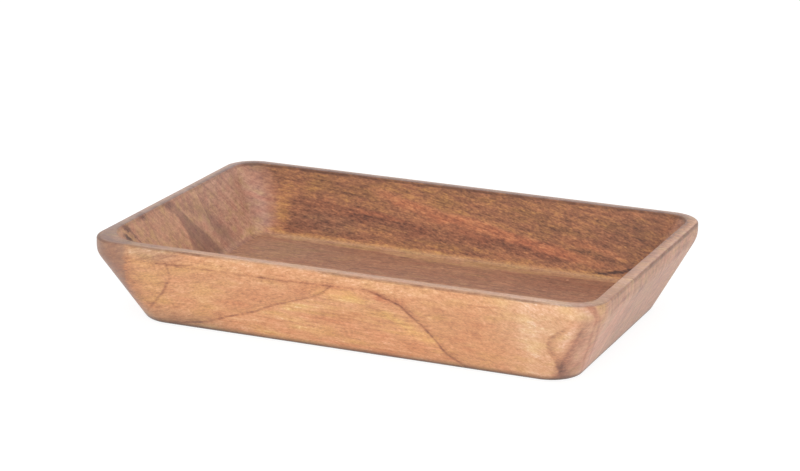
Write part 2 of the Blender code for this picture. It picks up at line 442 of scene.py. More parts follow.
RIGHT_END_WASHES = (
    ((-70, 26), (60, 36), 0, (1, 0.95, 0.93)),
    ((40, 40), (60, 40), 0, (1.03, 0.99, 1.02)),
)
FLOOR_WASHES = (
    ((-110, 62), (60, 36), 0, (1, 1.1, 1.18)),
)

WASHES = {
    "front_slope": FRONT_WASHES,
    "back_wall": BACK_WASHES,
    "left_wall": LEFT_WALL_WASHES,
    "right_end": RIGHT_END_WASHES,
    "floor": FLOOR_WASHES,
}

# Faces that cross the boards, and which of an oval's two directions runs across them
ACROSS_BOARDS = {"left_wall": 0, "right_end": 0, "floor": 1}

# Saw cuts between the fine meshes: the gap that stays, and the side that a cut drops
GLUE_LINE = 0.05 * MM
TOWARDS_FRONT = -1
TOWARDS_BACK = 1

# Studio; a soft light is its name, its place and its side in metres, and its watts
WHITE = (1, 1, 1, 1)
WORLD_LIGHT = 0.62
SOFTBOXES = (
    ("front_softbox", (0.8, -1.8, 1), 1.4, 16),
    ("top_softbox", (0.2, -0.3, 2), 1.6, 7),
)
FLOOR_COLOUR = (250, 250, 250)
FLOOR_GLOW_SHARE = 0.76
FLOOR_GLOW = 1.16
FLOOR_RADIUS = 40
FLOOR_SEGMENTS = 96
FLOOR_DROP = 0.2 * MM


def linear(colour):
    """Turn a colour as seen, 0 to 255, into the linear colour that a shader holds."""
    channels = []
    for value in colour:
        share = value / COLOUR_TOP
        if share <= 0.04045:
            channels.append(share / 12.92)
        else:
            channels.append(((share + 0.055) / 1.055) ** 2.4)
    return (*channels, 1.0)


# Section of the wall

def direction(start, end):
    """Unit step in the section plane from one point towards another."""
    run = end[0] - start[0]
    rise = end[1] - start[1]
    length = math.hypot(run, rise)
    return run / length, rise / length


def rounded_corner(before, corner, after, radius, steps):
    """Points of the arc that rounds a section's corner, in order, ends included."""
    back = direction(corner, before)
    ahead = direction(corner, after)
    opening = math.acos(back[0] * ahead[0] + back[1] * ahead[1])
    reach = radius / math.tan(opening / 2)
    room = min(math.dist(corner, before), math.dist(corner, after)) / 2
    if reach > room:
        reach = room
        radius = room * math.tan(opening / 2)
    towards = direction((0.0, 0.0), (back[0] + ahead[0], back[1] + ahead[1]))
    to_centre = radius / math.sin(opening / 2)
    centre = (corner[0] + towards[0] * to_centre, corner[1] + towards[1] * to_centre)
    first = (corner[0] + back[0] * reach, corner[1] + back[1] * reach)
    start = math.atan2(first[1] - centre[1], first[0] - centre[0])
    turn = math.pi - opening
    if back[0] * ahead[1] - back[1] * ahead[0] > 0:
        turn = -turn
    points = []
    for step in range(steps + 1):
        angle = start + turn * step / steps
        points.append((centre[0] + radius * math.cos(angle), centre[1] + radius * math.sin(angle)))
    return points


def divided(points):
    """The same section with points added, so that no stretch is longer than a facet may be."""
    result = [points[0]]
    for start, end in zip(points, points[1:]):
        pieces = max(1, math.ceil(math.dist(start, end) / LONGEST_FACET))
        for step in range(1, pieces + 1):
            share = step / pieces
            result.append((start[0] + (end[0] - start[0]) * share,
                           start[1] + (end[1] - start[1]) * share))
    return result


def outside_section():
    """Outside of the wall from the foot up to the rim, as (inset, height) points."""
    under_foot = (FOOT_INSET * 2, 0.0)
    foot = (FOOT_INSET, 0.0)
    bend = (0.0, HEIGHT - LIP_HEIGHT)
    rim_outer = (0.0, HEIGHT)
    rim_middle = (FRONT_RIM, HEIGHT)
    points = rounded_corner(under_foot, foot, bend, FOOT_EDGE_RADIUS, EDGE_STEPS)
    points += rounded_corner(foot, bend, rim_outer, BEND_RADIUS, BEND_STEPS)
    points += rounded_corner(bend, rim_outer, rim_middle, RIM_OUTER_EDGE_RADIUS, EDGE_STEPS)
    return divided(points)


def hollow_section():
    """Inside of the wall from the rim down to the floor, as (inset, height) points."""
    rim_middle = (-FRONT_RIM, HEIGHT)
    rim_inner = (0.0, HEIGHT)
    floor_corner = (HOLLOW_WALL_RUN, FLOOR_THICKNESS)
    floor = (HOLLOW_WALL_RUN * 2, FLOOR_THICKNESS)
    points = rounded_corner(rim_middle, rim_inner, floor_corner, RIM_INNER_EDGE_RADIUS, EDGE_STEPS)
    points += rounded_corner(rim_inner, floor_corner, floor, COVE_RADIUS, COVE_STEPS)
    return divided(points)


def outside_radius(inset, height):
    """Corner radius of the outside at one height, less what the rounding takes off."""
    up = height / HEIGHT
    radius = FOOT_CORNER_RADIUS + (RIM_CORNER_RADIUS - FOOT_CORNER_RADIUS) * up
    bend_height = HEIGHT - LIP_HEIGHT
    taper = FOOT_INSET * max(0.0, bend_height - height) / bend_height
    return radius - (inset - taper)


def hollow_radius(inset, height):
    """Corner radius of the hollow at one height, less what the rounding takes off."""
    down = (HEIGHT - height) / (HEIGHT - FLOOR_THICKNESS)
    radius = HOLLOW_TOP_CORNER_RADIUS
    radius += (HOLLOW_FLOOR_CORNER_RADIUS - HOLLOW_TOP_CORNER_RADIUS) * down
    return radius - (inset - HOLLOW_WALL_RUN * down)


# Outlines

def rounded_rectangle(left, right, front, back, radius, front_left_radius, height):
    """A level outline, anticlockwise: each corner's arc and then the straight side after it."""
    wide = front_left_radius
    corners = (
        (right - radius, back - radius, radius, LONG_SIDE_STEPS),
        (left + radius, back - radius, radius, SHORT_SIDE_STEPS),
        (left + wide, front + wide, wide, LONG_SIDE_STEPS),
        (right - radius, front + radius, radius, SHORT_SIDE_STEPS),
    )
    points = []
    for quarter, (x, y, reach, side_steps) in enumerate(corners):
        for step in range(CORNER_STEPS + 1):
            angle = (quarter + step / CORNER_STEPS) * math.pi / 2
            out = Vector((math.cos(angle), math.sin(angle), 0.0))
            points.append((Vector((x, y, height)) + reach * out, out))
        start = points[-1][0]
        next_x, next_y, next_reach, _ = corners[(quarter + 1) % len(corners)]
        end = Vector((next_x, next_y, height)) + next_reach * out
        for step in range(1, side_steps):
            points.append((start.lerp(end, step / side_steps), out))
    return points


def hand_dip(point):
    """How deep the tool went at this place, from nothing to the full dip."""
    wave = noise.noise(point / HAND_SPACING)
    return HAND_DIP * min(1.0, max(0.0, 0.5 + 0.5 * wave))


def outside_ring(inset, height):
    """Points of the outside at one height, dipped inward by hand."""
    half_x = LENGTH / 2 - inset
    half_y = WIDTH / 2 - inset
    radius = outside_radius(inset, height)
    outline = rounded_rectangle(-half_x, half_x, -half_y, half_y, radius, radius, height)
    return [point - out * hand_dip(point) for point, out in outline]


def hollow_ring(inset, height):
    """Points of the hollow at one height, dipped into the wood by hand."""
    left = -LENGTH / 2 + LEFT_RIM + inset
    right = LENGTH / 2 - RIGHT_RIM - inset
    front = -WIDTH / 2 + FRONT_RIM + inset
    back = WIDTH / 2 - BACK_RIM - inset
    radius = hollow_radius(inset, height)
    front_left = radius + FRONT_LEFT_EXTRA_RADIUS
    outline = rounded_rectangle(left, right, front, back, radius, front_left, height)
    return [point + out * hand_dip(point) for point, out in outline]


# Meshes

def shaped_block():
    """The whole hollowed block as one closed skin; the hollow's points are marked."""
    shape = bmesh.new()
    in_hollow = shape.verts.layers.float.new("hollow")
    rings = []
    for inset, height in outside_section():
        rings.append([shape.verts.new(point) for point in outside_ring(inset, height)])
    for inset, height in hollow_section():
        ring = [shape.verts.new(point) for point in hollow_ring(inset, height)]
        for corner in ring:
            corner[in_hollow] = 1.0
        rings.append(ring)
    for lower, upper in zip(rings, rings[1:]):
        for index, corner in enumerate(lower):
            following = (index + 1) % len(lower)
            shape.faces.new((corner, lower[following], upper[following], upper[index]))
    shape.faces.new(list(reversed(rings[0])))
    shape.faces.new(rings[-1])
    bmesh.ops.recalc_face_normals(shape, faces=shape.faces[:])
    return shape


def cut_away(shape, place, side):
    """Saw the block across its width at one place, drop the wood on one side and close it."""
    geometry = shape.verts[:] + shape.edges[:] + shape.faces[:]
    result = bmesh.ops.bisect_plane(shape, geom=geometry, plane_co=(0.0, place, 0.0),
                                    plane_no=(0.0, side, 0.0), clear_outer=True)
    edges = [part for part in result["geom_cut"] if isinstance(part, bmesh.types.BMEdge)]
    bmesh.ops.edgeloop_fill(shape, edges=edges)


def board_mesh(name, front, back):
    """Fine mesh of one board: the block between two saw cuts."""
    shape = shaped_block()
    if front is not None:
        cut_away(shape, front, TOWARDS_FRONT)
    if back is not None:
        cut_away(shape, back, TOWARDS_BACK)
    bmesh.ops.recalc_face_normals(shape, faces=shape.faces[:])
    mesh = bpy.data.meshes.new(name)
    shape.to_mesh(mesh)
    shape.free()
    mesh.shade_smooth()
    mesh.set_sharp_from_angle(angle=SHARP_ANGLE)
    return mesh


def add_board(node, front, back, material):
    """One board in place of its CAD solid."""
    mesh = board_mesh(node + "_fine", front, back)
    mesh.materials.append(material)
    piece = bpy.data.objects.new(node + "_fine", mesh)
    bpy.context.scene.collection.objects.link(piece)
    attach(piece, "root")
    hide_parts(node)
    return piece


# Values inside a material's node tree

class Field:
    """A number, vector or colour at every point of a surface; sums on it add nodes."""

    def __init__(self, socket):
        self.socket = socket
        self.tree = socket.id_data

    def __add__(self, other):
        return maths("ADD", self, other)

    def __sub__(self, other):
        return maths("SUBTRACT", self, other)

    def __rsub__(self, other):
        return maths("SUBTRACT", other, self)

    def __mul__(self, other):
        return maths("MULTIPLY", self, other)

    def __truediv__(self, other):
        return maths("DIVIDE", self, other)

    __radd__ = __add__
    __rmul__ = __mul__


def add_node(tree, kind, **settings):
    """A new node of one kind with its settings."""
    node = tree.nodes.new(kind)
    for name, value in settings.items():
        setattr(node, name, value)
    return node


def feed(socket, value):
    """Link a field to a socket, or write a plain number or colour there."""
    if isinstance(value, Field):
        value.tree.links.new(value.socket, socket)
    else:
        socket.default_value = value


def fed(tree, kind, *values, **settings):
    """First output of a new node whose first sockets are fed with these values."""
    node = add_node(tree, kind, **settings)
    for socket, value in zip(node.inputs, values):
        feed(socket, value)
    return Field(node.outputs[0])


def tree_of(*values):
    """The node tree that the fields among the values belong to."""
    return next(value.tree for value in values if isinstance(value, Field))


def maths(operation, *values):
    """A Math node over fields and plain numbers."""
    return fed(tree_of(*values), "ShaderNodeMath", *values, operation=operation)


def held(value, low, high):
    """The value, kept between two limits."""
    return maths("MINIMUM", maths("MAXIMUM", value, low), high)


def ease(value, start, end):
    """Rises softly from 0 at start to 1 at end, whichever of the two is larger."""
    return fed(value.tree, "ShaderNodeMapRange", value, start, end, interpolation_type="SMOOTHSTEP")


def stripe(value, half_width):
    """A soft line where the value is nought."""
    return ease(maths("ABSOLUTE", value), half_width, 0)


def band(value, rise, fall):
    """One between two fades, each given as where it starts and where it is full."""
    return ease(value, *rise) * ease(value, *fall)


def between(value, start, end, soft):
    """One from start to end, with edges that fade over the soft distance."""
    return band(value, (start - soft, start + soft), (end + soft, end - soft))


def curve(value, points):
    """A smooth curve through (place, height) points chosen along a line of the figure."""
    places = [place for place, _ in points]
    heights = [height for _, height in points]
    first, span = places[0], places[-1] - places[0]
    lowest, rise = min(heights), max(heights) - min(heights)
    node = add_node(value.tree, "ShaderNodeFloatCurve")
    line = node.mapping.curves[0]
    shares = [((place - first) / span, (height - lowest) / rise) for place, height in points]
    line.points[0].location = shares[0]
    line.points[-1].location = shares[-1]
    for share in shares[1:-1]:
        line.points.new(*share)
    node.mapping.update()
    feed(node.inputs["Value"], (value - first) / span)
    return Field(node.outputs["Value"]) * rise + lowest


def below(place, height, points):
    """How far a point lies under a line of the figure, square to the line."""
    line = curve(place, points)
    ahead = curve(place + LINE_PROBE, points)
    lean = (ahead - line) / LINE_PROBE
    return (line - height) / maths("SQRT", lean * lean + 1)


def oval(along, up, middle, reach, climb):
    """A soft oval: 1 in its core and 0 outside it."""
    aside = along - middle[0]
    above = (up - middle[1] - aside * climb) / reach[1]
    across = aside / reach[0]
    return ease(maths("SQRT", across * across + above * above), 1, OVAL_CORE)


def vector(x, y, z):
    """A point made of three fields."""
    return fed(tree_of(x, y, z), "ShaderNodeCombineXYZ", x, y, z)


def parts(place):
    """The three parts of a vector or colour."""
    node = add_node(place.tree, "ShaderNodeSeparateXYZ")
    feed(node.inputs[0], place)
    return [Field(socket) for socket in node.outputs]


def scaled(value, factors):
    """A vector or colour with its three parts multiplied by three factors."""
    return fed(value.tree, "ShaderNodeVectorMath", value, factors, operation="MULTIPLY")


def squeezed(place, lengths, seed):
    """The place measured in the given lengths, moved to a stretch of its own."""
    node = add_node(place.tree, "ShaderNodeMapping")
    feed(node.inputs["Vector"], place)
    feed(node.inputs["Scale"], [1 / length for length in lengths])
    feed(node.inputs["Location"], [seed * step for step in SEED_STEPS])
    return Field(node.outputs[0])


def clouds(place, lengths, seed, detail, roughness, swirl=0):
    """Soft random value, around 0 and mostly within 0.5, with features of these lengths."""
    node = add_node(place.tree, "ShaderNodeTexNoise")
    feed(node.inputs["Vector"], squeezed(place, lengths, seed))
    feed(node.inputs["Scale"], 1)
    feed(node.inputs["Detail"], detail)
    feed(node.inputs["Roughness"], roughness)
    feed(node.inputs["Distortion"], swirl)
    return (Field(node.outputs["Fac"]) - 0.5) * NOISE_GAIN


def dashes(place, cell, seed, size, share):
    """Short marks, one in some of the cells: 1 in a mark and 0 beside it."""
    node = add_node(place.tree, "ShaderNodeTexVoronoi")
    feed(node.inputs["Vector"], squeezed(place, cell, seed))
    feed(node.inputs["Scale"], 1)
    mark = ease(Field(node.outputs["Distance"]), size, size * MARK_CORE)
    chance = parts(Field(node.outputs["Color"]))[0]
    return mark * ease(chance, share, share * MARK_CORE)


def by_tone(tone):
    """The wood colour of a tone, from the darkest at 0 to the palest at 1."""
    node = add_node(tone.tree, "ShaderNodeValToRGB")
    stops = node.color_ramp.elements
    for place, colour in WOOD_TONES[1:-1]:
        stops.new(place).color = linear(colour)
    stops[0].color = linear(WOOD_TONES[0][1])
    stops[-1].color = linear(WOOD_TONES[-1][1])
    feed(node.inputs["Fac"], tone)
    return Field(node.outputs["Color"])


def tinted(colour, hue):
    """The colour turned towards yellow where the hue is above 0 and towards red below it."""
    yellow = maths("MAXIMUM", hue, 0)
    blue = 1 - yellow * BLUE_LOSS - (yellow - hue) * RED_BLUE_LOSS
    return scaled(colour, vector(1, hue * GREEN_GAIN + 1, blue))


def mix(colour, other, amount):
    """A colour turned into another, a field or a colour as seen, by an amount from 0 to 1."""
    if not isinstance(other, Field):
        other = linear(other)
    node = add_node(colour.tree, "ShaderNodeMix", data_type="RGBA")
    sockets = [socket for socket in node.inputs if socket.enabled]
    for socket, value in zip(sockets, (amount, colour, other)):
        feed(socket, value)
    return Field(next(socket for socket in node.outputs if socket.enabled))


# Wood

class Wood:
    """The wood of one board: its material, and the tone, hue and colour of its figure."""

    def __init__(self, name, seed, slant, sway, grain, front, back):
        self.seed = seed
        self.front = front
        self.back = back
        self.material = bpy.data.materials.new(name)
        self.material.use_nodes = True
        self.tree = self.material.node_tree
        coordinates = add_node(self.tree, "ShaderNodeTexCoord")
        self.place = scaled(Field(coordinates.outputs["Object"]), (1 / MM, 1 / MM, 1 / MM))
        self.x, self.y, self.z = parts(self.place)
        facing_x, _, self.facing_up = parts(Field(coordinates.outputs["Normal"]))
        mark = add_node(self.tree, "ShaderNodeAttribute", attribute_name="hollow")
        self.hollow = Field(mark.outputs["Fac"])
        self.outside = 1 - self.hollow
        self.inset = outline_inset(self.x, self.y)
        self.edge_place = self.inset + self.z - HEIGHT / MM
        self.drift = self.clouds("drift")
        waver = self.clouds("waver")
        smooth = zip((self.x, self.y, self.z), DRIFT_REACH)
        self.figure = [value + self.drift * reach for value, reach in smooth]
        self.rough = [value + waver * reach for value, reach in zip(self.figure, WAVER_REACH)]
        climb = self.x * slant + self.x * self.x * sway
        self.fibre_place = vector(self.x, self.y + self.drift * FIBRE_DRIFT, self.z + climb)
        self.grain = self.clouds(grain, self.fibre_place)
        self.tone = BOARD_TONE
        self.hue = 0
        self.set_faces(facing_x)

    def clouds(self, name, place=None):
        """One of the soft random patterns, drawn over the board's own place or another."""
        lengths, step, *form = PATTERNS[name]
        return clouds(place or self.place, lengths, self.seed + step, *form)

    def dashes(self, name):
        """One of the patterns of short marks along the fibres."""
        cell, step, size, share = MARKS[name]
        return dashes(self.fibre_place, cell, self.seed + step, size, share)

    def region(self, along, across):
        """A soft mask seen from above: where it starts and is full along x and along y."""
        return ease(self.x, *along) * ease(self.y, *across)

    def set_faces(self, facing_x):
        """Where the end grain shows, and each face as its two directions and its mask."""
        rough_x, rough_y, rough_z = self.rough
        left_end = ease(rough_x + self.z * LEFT_END_LEAN, *LEFT_END) * self.hollow
        back_left = left_end * ease(self.y, *BACK_LEFT_ACROSS) * ease(self.z, *BACK_LEFT_UP)
        endwise = maths("ABSOLUTE", facing_x) - self.hollow * HOLLOW_ENDWISE_LOSS
        self.end_grain = maths("MAXIMUM", ease(endwise, *END_GRAIN_TURN), back_left)
        left_wall = left_end * ease(self.z, *LEFT_WALL_FOOT) * ease(self.y, *LEFT_WALL_BACK)
        right_end = self.outside * ease(self.x, *RIGHT_END) * self.end_grain
        self.faces = {
            "left_wall": (rough_y, rough_z, left_wall),
            "right_end": (rough_y, rough_z, right_end),
            "floor": (self.x, self.y, ease(self.z, *FLOOR_RISE) * self.hollow),
        }

    def add(self, amount, tone=0, hue=0):
        """Change the tone and the hue, as far as the amount says."""
        self.tone = self.tone + amount * tone
        self.hue = self.hue + amount * hue

    def stain(self, colour, amount):
        """Turn the colour into another one, as far as the amount says."""
        self.colour = mix(self.colour, colour, amount)

    def wash(self, tint, amount):
        """Multiply the colour by a tint, as far as the amount says."""
        self.stain(scaled(self.colour, tint), amount)

    def marks(self, table):
        """The soft ovals of a table that reach this board: where each lies, what it changes."""
        for face, (along, up, mask) in self.faces.items():
            for middle, reach, climb, *change in table[face]:
                if face not in ACROSS_BOARDS or self.reached(middle, reach, ACROSS_BOARDS[face]):
                    yield oval(along, up, middle, reach, climb) * mask, change

    def reached(self, middle, reach, across):
        """Whether an oval that lies across the boards comes near this one."""
        room = reach[across] + OVAL_MARGIN
        return middle[across] + room > self.front and middle[across] - room < self.back


def outline_inset(x, y):
    """How far in from the rim's outer edge a point lies, seen from above."""
    corner = RIM_CORNER_RADIUS / MM
    past_end = maths("ABSOLUTE", x) - (LENGTH / 2 / MM - corner)
    past_side = maths("ABSOLUTE", y) - (WIDTH / 2 / MM - corner)
    round_end = maths("MAXIMUM", past_end, 0)
    round_side = maths("MAXIMUM", past_side, 0)
    round_corner = maths("SQRT", round_end * round_end + round_side * round_side)
    straight = maths("MINIMUM", maths("MAXIMUM", past_end, past_side), 0)
    return corner - round_corner - straight


# Front board

def front_wood(seams):
    """Flat-sawn board: on the sloping front its layers show as a pointed arch."""
    wood = Wood("front_board_wood", seed=3, slant=0.03, sway=0.001, grain="front_grain",
                front=-WIDTH / 2 / MM, back=seams[0])
    x, _, z = wood.figure
    depth = (wood.y + FRONT_FOOT_PLACE) * math.cos(FRONT_LEAN) + wood.z * math.sin(FRONT_LEAN)
    on_slope = ease(depth, *SLOPE_DEPTH) * wood.outside
    wood.faces["front_slope"] = (wood.rough[0], wood.rough[2], on_slope)
    under_ring = below(x, z, RING_LINE)
    under_leg = below(x, z, LEG_LINE)
    in_arch = ease(under_ring, *ARCH_EDGE) * ease(under_leg, *ARCH_EDGE) * on_slope
    wood.tone = curve(wood.x, FRONT_TONE_LINE)
    wood.add(wood.hollow, tone=-0.06)
    # Painted light on the upright lip above the bend
    wood.add(ease(wood.z, *LIT_LIP_RISE) * on_slope, tone=0.06)
    wood.add(in_arch, tone=0.02)
    wood.add(in_arch * wood.clouds("front_flame"), tone=0.19, hue=0.4)
    wood.add(in_arch * wood.clouds("glow"), tone=0.05, hue=1.3)
    climbing = wood.z - wood.x * CURL_CLIMB + wood.drift * CURL_DRIFT
    curl = wood.clouds("curl", vector(wood.x, wood.y, climbing)) * ease(x, *CURL_END)
    wood.add(curl * on_slope * (1 - in_arch), tone=0.18)
    strands = held(wood.clouds("strands", vector(wood.x, wood.y, under_ring)), 0, 1)
    strands = strands * between(under_ring, *STRAND_REACH) * band(x, *STRAND_BAND)
    wood.add(strands * on_slope, tone=-0.22)
    shade = band(under_leg, *LEG_SHADE) * ease(x, *LEG_SHADE_END)
    shade = shade + band(under_ring, *RING_SHADE) * ease(x, *RING_SHADE_START)
    wood.add(shade * on_slope, tone=-0.09)
    wood.add(corner_arcs(wood, depth), tone=-0.2, hue=-0.2)
    wood.add(front_lines(wood) * on_slope, tone=-0.24, hue=-0.3)
    return finish_wood(wood, 1, seams)


def front_lines(wood):
    """The thin broken lines of the front figure: the ring, the arch's leg, curl and arc."""
    x, _, z = wood.figure
    lines = stripe(x - curve(z, LEFT_ARC_LINE), LEFT_ARC_WIDTH) * band(z, *LEFT_ARC_BAND)
    lines = lines * (ease(z, *LEFT_ARC_STRONG) * 0.5 + 0.7)
    for points, half_width, reach, strength in FRONT_LINES:
        lines = lines + stripe(below(x, z, points), half_width) * between(x, *reach) * strength
    broken = held(wood.clouds("broken") + 0.6, 0.2, 1)
    return lines * (broken * 0.8 + 0.3)


def corner_arcs(wood, depth):
    """The two wide arcs of a limb at the right corner of the front."""
    x, _, z = wood.figure
    right_of_edge = x - curve(z, CORNER_EDGE_LINE)
    arcs = band(x - curve(z, CORNER_ARC_LINE), *CORNER_ARC_BAND)
    arcs = arcs + band(right_of_edge, *CORNER_EDGE_BAND)
    arcs = arcs + stripe(right_of_edge, CORNER_EDGE_WIDTH) * 0.5
    return arcs * ease(z, *CORNER_ARC_TOP) * ease(depth, *CORNER_DEPTH) * wood.outside


# Middle and rear boards

def middle_wood(seams):
    """Middle board, which shows only on the end walls, the rims and the floor."""
    wood = Wood("middle_board_wood", seed=23, slant=0, sway=0, grain="middle_grain",
                front=seams[0], back=seams[1])
    layer = wood.y - wood.z * LAYER_LEAN
    wander = wood.clouds("growth", vector(layer, 0, 0)) * LAYER_WANDER
    phase = maths("FRACT", layer / LAYER_SPACING + wander + LAYER_START)
    wood.add(band(phase, *LAYER_BAND), tone=-0.04)
    wood.add(wood.hollow, tone=-0.17)
    wood.add(wood.drift, hue=0.1)
    return finish_wood(wood, 1, seams)


def rear_wood(seams):
    """Rear board: its streaks draw together towards the right of the back wall."""
    wood = Wood("rear_board_wood", seed=43, slant=0.2, sway=0.0004, grain="rear_grain",
                front=seams[1], back=WIDTH / 2 / MM)
    rough_x, _, rough_z = wood.rough
    on_wall = wood.hollow * ease(wood.z, *BACK_WALL_FOOT) * ease(wood.end_grain, *LONG_GRAIN)
    wood.faces["back_wall"] = (rough_x, rough_z, on_wall)
    flame = wood.clouds("back_flame", wood.fibre_place)
    wood.add(wood.hollow, tone=-0.23)
    wood.add(wood.outside * flame, tone=0.1)
    wood.add(on_wall, tone=-0.09, hue=0.1)
    wood.add(on_wall * flame, tone=0.16, hue=0.8)
    wood.add(on_wall * wood.dashes("fleck"), tone=0.07, hue=0.5)
    for points, over, reach, tone, hue in BACK_STREAKS:
        streak = between(rough_z - curve(wood.x, points), *over) * between(wood.x, *reach)
        wood.add(on_wall * streak, tone, hue)
    return finish_wood(wood, 1.2, seams)


# Faces that cross all the boards

def left_wedge(wood):
    """The grey wedge of the left end wall, and the wedge with the darker patch behind it."""
    along, up, on_wall = wood.faces["left_wall"]
    dark_edge = curve(wood.z, STRIPE_EDGE_LINE)
    light_line = curve(wood.z, STRIPE_LIGHT_LINE)
    share = (along - dark_edge) / (light_line - dark_edge)
    wedge = band(share, *WEDGE_SHARES) * ease(wood.z, *WEDGE_TOP)
    second = oval(along, up, *SECOND_WEDGE) * 0.9
    return wedge, on_wall * (wedge + second) * (wood.drift * 0.3 + 1)


def draw_left_wall(wood, wedge):
    """The leaning stripes of the hollow's left end wall."""
    along, _, on_wall = wood.faces["left_wall"]
    wood.add(on_wall, tone=0.12)
    wood.add(on_wall * ease(wood.y, *REAR_HALF), tone=0.03)
    wood.add(on_wall * wedge, tone=-0.12)
    for points, shift, half_width, height, tone in LEFT_WALL_LINES:
        line = stripe(along - curve(wood.z, points) + shift, half_width) * ease(wood.z, *height)
        wood.add(on_wall * line, tone)


def draw_right_end(wood):
    """Growth arcs on the outside of the right end."""
    on_end = wood.faces["right_end"][2]
    wood.add(on_end, tone=-0.05)
    for points, half_width in END_ARCS:
        arc = stripe(wood.y + wood.drift * ARC_DRIFT - curve(wood.z, points), half_width)
        wood.add(on_end * arc, tone=-0.12, hue=-0.6)


def draw_floor(wood):
    """Lengthwise streaks of the hollow's floor and the pale strip along its back edge."""
    on_floor = wood.faces["floor"][2]
    over_strip = wood.y + wood.drift * FIBRE_DRIFT - curve(wood.x, STRIP_LINE)
    strip = ease(over_strip, *STRIP_EDGE) * ease(wood.z, *STRIP_TOP) * wood.hollow
    wood.add(strip * between(wood.x, *STRIP_REACH), tone=0.14, hue=0.8)
    wood.add(on_floor, tone=0.01, hue=-0.2)
    wood.add(on_floor * wood.clouds("floor_streak"), tone=0.12, hue=0.3)


# Rim, edges and foot

def draw_rim(wood, rim, worn, far_rim):
    """The rim's grey cast of sanded wood and painted sheen, the tints of its parts; the near edge
    stays tan.
    """
    tan_edge = wood.region(*TAN_EDGE) * ease(wood.edge_place, *TAN_EDGE_DEPTH)
    # Grey cast of the rim, partly painted sheen
    wood.wash(RIM_GREY_AND_SHEEN_TINT, rim * (1 - worn * 0.4) * (1 - tan_edge * 0.8))
    for tint, along, across in RIM_PART_TINTS:
        wood.wash(tint, rim * wood.region(along, across))
    wood.stain(FAR_RIM_GREY, rim * far_rim * 0.5)
    corner = wood.region(*NEAR_LEFT) * (0.9 - worn * 0.5) * (1 - tan_edge * 0.7)
    wood.wash(CORNER_TINT, rim * corner)


def rim_dark(wood, rim, worn, far_rim):
    """How dark the worn edges of the rim are, and a dark line just under its inner edge, strongest
    along the back.
    """
    on_front = ease(wood.y, *FRONT_EDGE_ACROSS)
    on_right = ease(wood.x, *RIGHT_EDGE_ALONG) * (1 - on_front)
    front_dark = curve(wood.x, FRONT_EDGE_LINE) * on_front * ease(wood.inset, *FRONT_EDGE_INSET)
    front_dark = front_dark * band(wood.edge_place, *FRONT_EDGE_BAND)
    right_dark = curve(wood.y, RIGHT_EDGE_LINE) * on_right * band(wood.edge_place, *RIGHT_EDGE_BAND)
    dark = (front_dark * 1.3 + right_dark * 0.9) * wood.outside
    dark = dark * (worn * 0.7 + wood.clouds("edge_streak") * 0.5 + 0.55)
    dark = dark + far_rim * wood.outside * band(wood.edge_place, *FAR_EDGE_BAND) * 0.4
    dark = dark + far_rim * rim * ease(wood.inset, *FAR_EDGE_INSET) * (worn * 0.4 + 0.15)
    inner = between(wood.z, *INNER_REACH) * wood.hollow * (worn * 0.5 + 0.3)
    return held(dark + inner * (ease(wood.y, *INNER_BACK) * 0.6 + 0.35), 0, 0.9)


def draw_edges(wood, seams):
    """The rim, its worn edges, a dark line under its inner edge, the glue lines and painted shade
    at the foot.
    """
    worn = ease(wood.clouds("worn"), *WORN_RANGE)
    rim = ease(wood.z, *RIM_RISE) * ease(wood.facing_up, *RIM_FACING)
    far_rim = held(ease(wood.x, *FAR_LEFT) + ease(wood.y, *FAR_BACK), 0, 1)
    far_rim = far_rim * ease(wood.y, *FAR_START)
    draw_rim(wood, rim, worn, far_rim)
    wood.stain(EDGE_BROWN, rim_dark(wood, rim, worn, far_rim))
    for seam in seams:
        wood.stain(EDGE_BROWN, stripe(wood.y - seam, GLUE_WIDTH) * (rim * 0.4 + 0.25))
    # Painted shade: the foot darkened towards the floor
    wood.stain(FOOT_SHADE_GREY, ease(wood.z, *FOOT_SHADE_FADE) * wood.outside * 0.9)


# What all the boards share

def draw_grain(wood, mottle, contrast):
    """The fibres on the long faces, the layers and specks on the end grain, and clouds."""
    end_grain = wood.end_grain
    long_grain = 1 - end_grain * 0.6
    wood.add(wood.grain * long_grain, tone=0.15 * contrast)
    wood.add(wood.clouds("figure", wood.fibre_place) * long_grain, tone=0.08 * contrast)
    wood.add(mottle, tone=0.14)
    wood.add(mottle * end_grain, tone=-0.05)
    speck_place = vector(wood.x, wood.y * (wood.hollow * 0.65 + 0.35), wood.z)
    wood.add(wood.clouds("speck", speck_place) * end_grain, tone=0.15 * contrast)
    lean = wood.y + wood.z * (wood.hollow * 0.6 + 0.2) + wood.drift * LAYER_DRIFT
    wood.add(wood.clouds("layers", vector(wood.x, lean, wood.z)) * end_grain, tone=0.16)
    wood.add(wood.clouds("patch"), tone=0.05)
    wood.add(wood.clouds("shift") * (end_grain * 0.4 + 0.8), hue=1)
    wood.add(wood.grain, hue=0.2)


